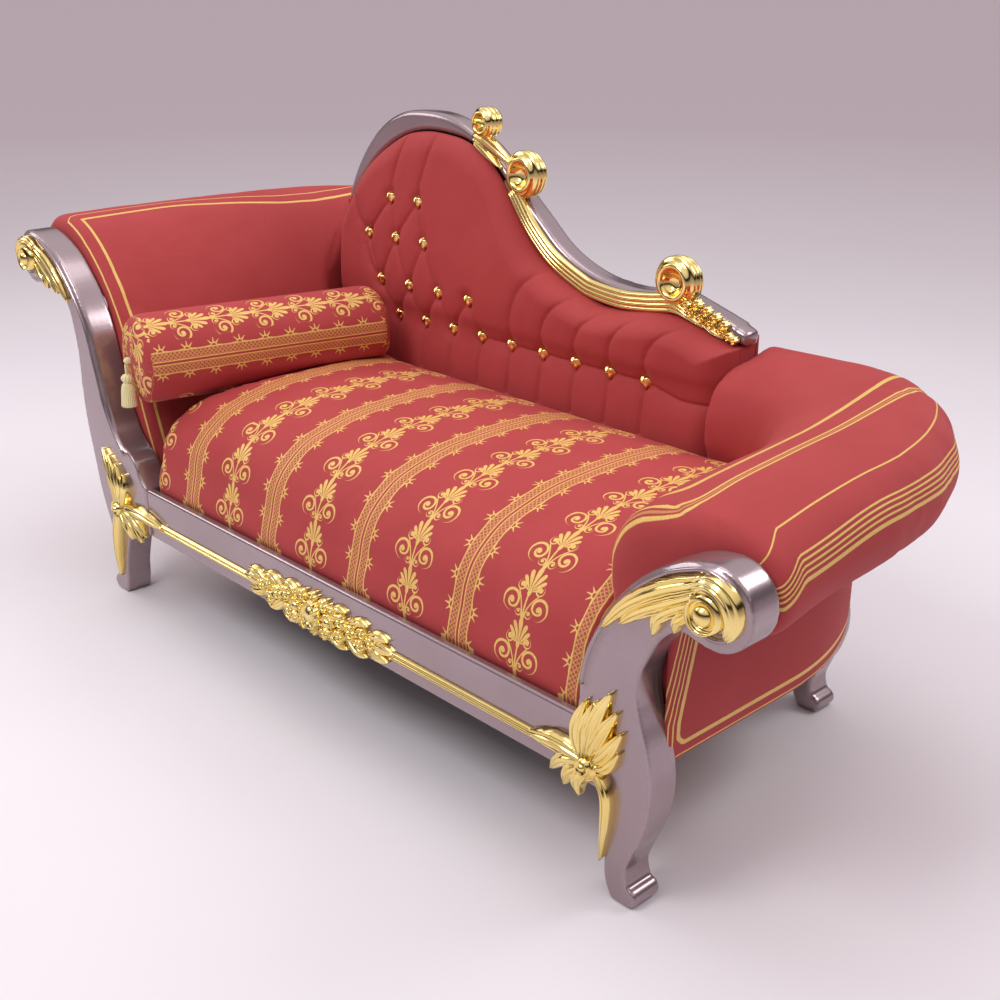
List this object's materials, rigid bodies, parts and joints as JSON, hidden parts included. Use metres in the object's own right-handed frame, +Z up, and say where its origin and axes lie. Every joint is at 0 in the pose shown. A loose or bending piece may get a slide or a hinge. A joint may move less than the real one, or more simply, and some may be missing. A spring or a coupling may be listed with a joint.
{
  "type": "chaise longue",
  "caption": "Chaise longue with a high scrolled head end, a low rolled foot end, a tufted half back under an ogee crest, gilded mounts and a loose bolster.",
  "frame": {"origin": "on the floor under the centre of the bounding box", "axes": "+X from the head end to the foot end, +Y from the front to the back, +Z up"},
  "size_m": [1.8922, 0.7852, 0.975],
  "materials": {
    "lacquered_frame": "satin pewter lacquer",
    "inner_frame": "bare sawn wood",
    "plain_cover": "plain woven cloth with gold stripes",
    "striped_cover": "woven cloth with gold bands",
    "gilding": "bright polished gilding",
    "tassel_thread": "silky pale thread",
    "dust_cloth": "plain black dust cloth"
  },
  "bodies": {
    "frame": {"front_rail": "lacquered_frame", "foot_front_post": "lacquered_frame", "head_front_post": "lacquered_frame", "foot_rear_leg": "lacquered_frame", "head_rear_leg": "lacquered_frame", "crest_rail": "lacquered_frame", "head_end_rail": "inner_frame", "foot_end_rail": "inner_frame", "rear_rail": "inner_frame", "seat_slats": "inner_frame", "corner_blocks": "inner_frame", "foot_arm_board": "inner_frame", "head_arm_board": "inner_frame", "foot_arm_roller": "inner_frame", "head_arm_roller": "inner_frame", "back_stile_head": "inner_frame", "back_stile_mid": "inner_frame", "back_stile_foot": "inner_frame", "head_arm_pad": "plain_cover", "foot_arm_pad": "plain_cover", "foot_end_panel": "plain_cover", "head_end_panel": "plain_cover", "back_pad": "plain_cover", "back_cover": "plain_cover", "seat_mattress": "striped_cover", "tuft_buttons": "gilding", "foot_scroll_leaf": "gilding", "head_scroll_leaf": "gilding", "foot_knee_leaf": "gilding", "head_knee_leaf": "gilding", "rail_garland": "gilding", "rail_beads": "gilding", "crest_volutes": "gilding", "crest_band": "gilding", "crest_top_leaf": "gilding", "crest_tail_leaf": "gilding", "dust_cover": "dust_cloth"},
    "bolster": {"bolster": "striped_cover", "bolster_knot": "tassel_thread"},
    "tassel": {"tassel_cord": "tassel_thread", "tassel_head": "tassel_thread", "tassel_skirt": "tassel_thread"}
  },
  "joints": [
    {"name": "bolster_lift", "type": "slide", "parent": "frame", "child": "bolster", "axis": [0, 0, 1], "range_m": [0, 0.25]},
    {"name": "tassel_swing", "type": "hinge", "parent": "bolster", "child": "tassel", "pos_m": [-0.56365, -0.35614, 0.518], "axis": [0.2164, 0.9763, 0], "range_deg": [-30, 30]}
  ]
}
